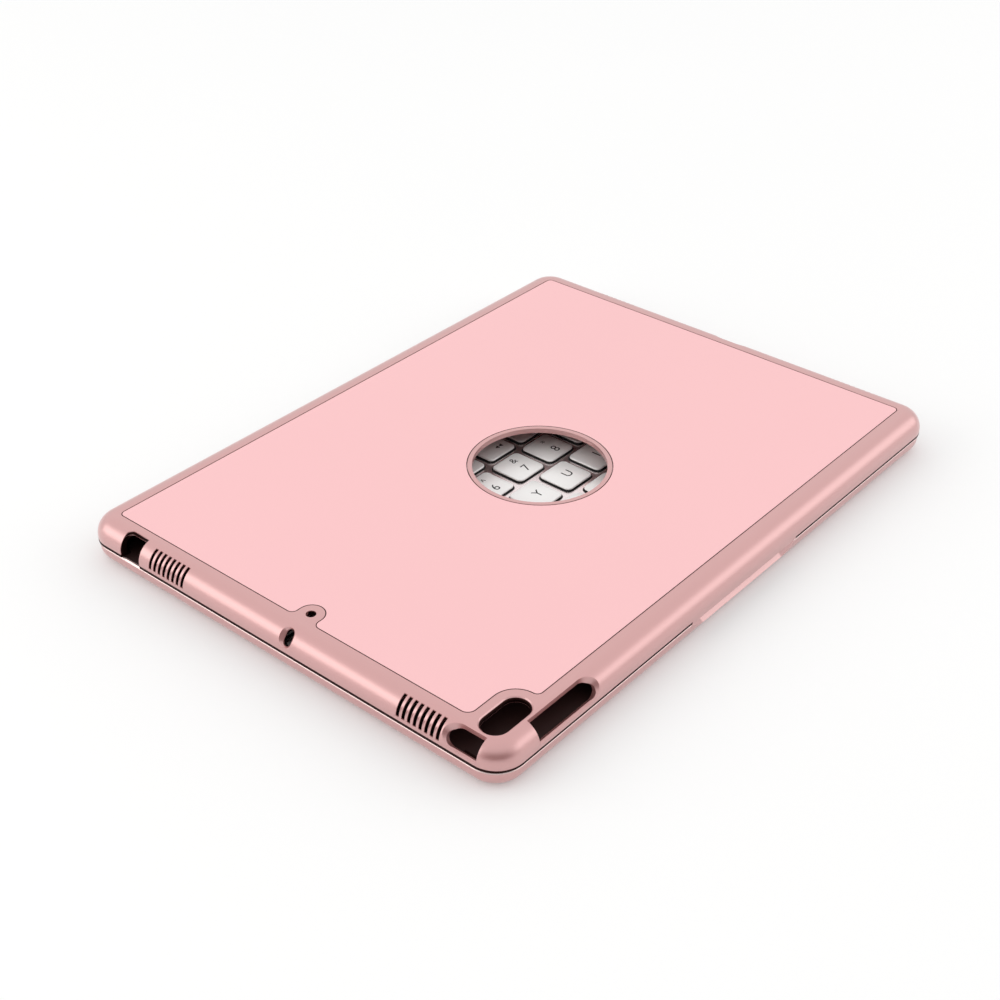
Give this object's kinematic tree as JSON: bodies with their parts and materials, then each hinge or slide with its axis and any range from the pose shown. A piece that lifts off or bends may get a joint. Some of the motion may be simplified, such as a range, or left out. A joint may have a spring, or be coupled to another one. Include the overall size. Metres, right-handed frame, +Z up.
{
  "type": "tablet keyboard case",
  "caption": "Hinged clamshell case: a tablet lid shell with a round window and edge openings over a thin wireless keyboard base.",
  "frame": {"origin": "middle of the overall box, on the floor under the rubber feet, with the lid closed", "axes": "+X along the keyboard to the typist's right, +Y from the typist towards the hinge, +Z up"},
  "size_m": [0.256, 0.193, 0.0166],
  "materials": {
    "shell": "rose-gold metallic lacquer, satin",
    "plate": "pink anodised, matte",
    "base_shell": "rose-gold metallic lacquer, satin",
    "film": "clear polyester film",
    "pad": "soft foam pad",
    "steel": "plain steel",
    "brass": "turned brass",
    "plate_metal": "pressed sheet",
    "dome_rubber": "moulded silicone domes",
    "frame_plastic": "moulded nylon",
    "battery_pack": "foil-wrapped cell",
    "lead": "insulated wire",
    "board": "solder mask",
    "black_plastic": "moulded",
    "knob": "satin",
    "lens": "diffusing",
    "magnet": "nickel plated",
    "rubber": "moulded",
    "key_caps": "silver-white lacquer, fine satin"
  },
  "bodies": {
    "base": {"base_case": "base_shell", "bottom_cover": "base_shell", "rubber_feet": "rubber", "cover_screws": "steel", "inner_screws": "steel", "key_plate": "plate_metal", "contact_membrane": "film", "dome_sheet": "dome_rubber", "scissor_frames": "frame_plastic", "battery": "battery_pack", "battery_leads": "lead", "control_board": "board", "ribbon_cable": "film", "usb_socket": "steel", "switch_body": "black_plastic", "status_lenses": "lens", "base_hinge_leaf": "steel", "hinge_shafts": "steel", "closing_magnets": "magnet", "rim_bumpers": "rubber"},
    "lid": {"lid_shell": "shell", "back_plate": "plate", "plate_adhesive": "film", "bay_pads": "pad", "hinge_shutter": "shell", "lid_hinge_leaves": "steel", "friction_sleeves": "brass", "lid_leaf_screws": "steel"},
    "power_slider": {"power_switch": "knob"},
    "key_q_body": {"key_q": "key_caps"},
    "key_w_body": {"key_w": "key_caps"},
    "key_e_body": {"key_e": "key_caps"},
    "key_r_body": {"key_r": "key_caps"},
    "key_t_body": {"key_t": "key_caps"},
    "key_y_body": {"key_y": "key_caps"},
    "key_u_body": {"key_u": "key_caps"},
    "key_i_body": {"key_i": "key_caps"},
    "key_o_body": {"key_o": "key_caps"},
    "key_p_body": {"key_p": "key_caps"},
    "key_a_body": {"key_a": "key_caps"},
    "key_s_body": {"key_s": "key_caps"},
    "key_d_body": {"key_d": "key_caps"},
    "key_f_body": {"key_f": "key_caps"},
    "key_g_body": {"key_g": "key_caps"},
    "key_h_body": {"key_h": "key_caps"},
    "key_j_body": {"key_j": "key_caps"},
    "key_k_body": {"key_k": "key_caps"},
    "key_l_body": {"key_l": "key_caps"},
    "key_z_body": {"key_z": "key_caps"},
    "key_x_body": {"key_x": "key_caps"},
    "key_c_body": {"key_c": "key_caps"},
    "key_v_body": {"key_v": "key_caps"},
    "key_b_body": {"key_b": "key_caps"},
    "key_n_body": {"key_n": "key_caps"},
    "key_m_body": {"key_m": "key_caps"},
    "key_space_body": {"key_space": "key_caps"},
    "number_keys_body": {"number_keys": "key_caps"},
    "function_keys_body": {"function_keys": "key_caps"},
    "punctuation_keys_body": {"punctuation_keys": "key_caps"},
    "modifier_keys_body": {"modifier_keys": "key_caps"}
  },
  "joints": [
    {"name": "button_power", "type": "slide", "parent": "base", "child": "power_slider", "axis": [0, 1, 0], "range_m": [0, 0.0025]},
    {"name": "hinge_lid", "type": "hinge", "parent": "base", "child": "lid", "pos_m": [0, 0.0935, 0.0074], "axis": [-1, 0, 0], "range_deg": [0, 130]},
    {"name": "key_q", "type": "slide", "parent": "base", "child": "key_q_body", "axis": [0, 0, -1], "range_m": [0, 0.0012], "stiffness_N_per_m": 300, "springref_m": -0.0005},
    {"name": "key_w", "type": "slide", "parent": "base", "child": "key_w_body", "axis": [0, 0, -1], "range_m": [0, 0.0012], "stiffness_N_per_m": 300, "springref_m": -0.0005},
    {"name": "key_e", "type": "slide", "parent": "base", "child": "key_e_body", "axis": [0, 0, -1], "range_m": [0, 0.0012], "stiffness_N_per_m": 300, "springref_m": -0.0005},
    {"name": "key_r", "type": "slide", "parent": "base", "child": "key_r_body", "axis": [0, 0, -1], "range_m": [0, 0.0012], "stiffness_N_per_m": 300, "springref_m": -0.0005},
    {"name": "key_t", "type": "slide", "parent": "base", "child": "key_t_body", "axis": [0, 0, -1], "range_m": [0, 0.0012], "stiffness_N_per_m": 300, "springref_m": -0.0005},
    {"name": "key_y", "type": "slide", "parent": "base", "child": "key_y_body", "axis": [0, 0, -1], "range_m": [0, 0.0012], "stiffness_N_per_m": 300, "springref_m": -0.0005},
    {"name": "key_u", "type": "slide", "parent": "base", "child": "key_u_body", "axis": [0, 0, -1], "range_m": [0, 0.0012], "stiffness_N_per_m": 300, "springref_m": -0.0005},
    {"name": "key_i", "type": "slide", "parent": "base", "child": "key_i_body", "axis": [0, 0, -1], "range_m": [0, 0.0012], "stiffness_N_per_m": 300, "springref_m": -0.0005},
    {"name": "key_o", "type": "slide", "parent": "base", "child": "key_o_body", "axis": [0, 0, -1], "range_m": [0, 0.0012], "stiffness_N_per_m": 300, "springref_m": -0.0005},
    {"name": "key_p", "type": "slide", "parent": "base", "child": "key_p_body", "axis": [0, 0, -1], "range_m": [0, 0.0012], "stiffness_N_per_m": 300, "springref_m": -0.0005},
    {"name": "key_a", "type": "slide", "parent": "base", "child": "key_a_body", "axis": [0, 0, -1], "range_m": [0, 0.0012], "stiffness_N_per_m": 300, "springref_m": -0.0005},
    {"name": "key_s", "type": "slide", "parent": "base", "child": "key_s_body", "axis": [0, 0, -1], "range_m": [0, 0.0012], "stiffness_N_per_m": 300, "springref_m": -0.0005},
    {"name": "key_d", "type": "slide", "parent": "base", "child": "key_d_body", "axis": [0, 0, -1], "range_m": [0, 0.0012], "stiffness_N_per_m": 300, "springref_m": -0.0005},
    {"name": "key_f", "type": "slide", "parent": "base", "child": "key_f_body", "axis": [0, 0, -1], "range_m": [0, 0.0012], "stiffness_N_per_m": 300, "springref_m": -0.0005},
    {"name": "key_g", "type": "slide", "parent": "base", "child": "key_g_body", "axis": [0, 0, -1], "range_m": [0, 0.0012], "stiffness_N_per_m": 300, "springref_m": -0.0005},
    {"name": "key_h", "type": "slide", "parent": "base", "child": "key_h_body", "axis": [0, 0, -1], "range_m": [0, 0.0012], "stiffness_N_per_m": 300, "springref_m": -0.0005},
    {"name": "key_j", "type": "slide", "parent": "base", "child": "key_j_body", "axis": [0, 0, -1], "range_m": [0, 0.0012], "stiffness_N_per_m": 300, "springref_m": -0.0005},
    {"name": "key_k", "type": "slide", "parent": "base", "child": "key_k_body", "axis": [0, 0, -1], "range_m": [0, 0.0012], "stiffness_N_per_m": 300, "springref_m": -0.0005},
    {"name": "key_l", "type": "slide", "parent": "base", "child": "key_l_body", "axis": [0, 0, -1], "range_m": [0, 0.0012], "stiffness_N_per_m": 300, "springref_m": -0.0005},
    {"name": "key_z", "type": "slide", "parent": "base", "child": "key_z_body", "axis": [0, 0, -1], "range_m": [0, 0.0012], "stiffness_N_per_m": 300, "springref_m": -0.0005},
    {"name": "key_x", "type": "slide", "parent": "base", "child": "key_x_body", "axis": [0, 0, -1], "range_m": [0, 0.0012], "stiffness_N_per_m": 300, "springref_m": -0.0005},
    {"name": "key_c", "type": "slide", "parent": "base", "child": "key_c_body", "axis": [0, 0, -1], "range_m": [0, 0.0012], "stiffness_N_per_m": 300, "springref_m": -0.0005},
    {"name": "key_v", "type": "slide", "parent": "base", "child": "key_v_body", "axis": [0, 0, -1], "range_m": [0, 0.0012], "stiffness_N_per_m": 300, "springref_m": -0.0005},
    {"name": "key_b", "type": "slide", "parent": "base", "child": "key_b_body", "axis": [0, 0, -1], "range_m": [0, 0.0012], "stiffness_N_per_m": 300, "springref_m": -0.0005},
    {"name": "key_n", "type": "slide", "parent": "base", "child": "key_n_body", "axis": [0, 0, -1], "range_m": [0, 0.0012], "stiffness_N_per_m": 300, "springref_m": -0.0005},
    {"name": "key_m", "type": "slide", "parent": "base", "child": "key_m_body", "axis": [0, 0, -1], "range_m": [0, 0.0012], "stiffness_N_per_m": 300, "springref_m": -0.0005},
    {"name": "key_space", "type": "slide", "parent": "base", "child": "key_space_body", "axis": [0, 0, -1], "range_m": [0, 0.0012], "stiffness_N_per_m": 300, "springref_m": -0.0005},
    {"name": "key_number_group", "type": "slide", "parent": "base", "child": "number_keys_body", "axis": [0, 0, -1], "range_m": [0, 0.0012], "stiffness_N_per_m": 300, "springref_m": -0.0005},
    {"name": "key_function_group", "type": "slide", "parent": "base", "child": "function_keys_body", "axis": [0, 0, -1], "range_m": [0, 0.0012], "stiffness_N_per_m": 300, "springref_m": -0.0005},
    {"name": "key_punctuation_group", "type": "slide", "parent": "base", "child": "punctuation_keys_body", "axis": [0, 0, -1], "range_m": [0, 0.0012], "stiffness_N_per_m": 300, "springref_m": -0.0005},
    {"name": "key_modifier_group", "type": "slide", "parent": "base", "child": "modifier_keys_body", "axis": [0, 0, -1], "range_m": [0, 0.0012], "stiffness_N_per_m": 300, "springref_m": -0.0005}
  ]
}
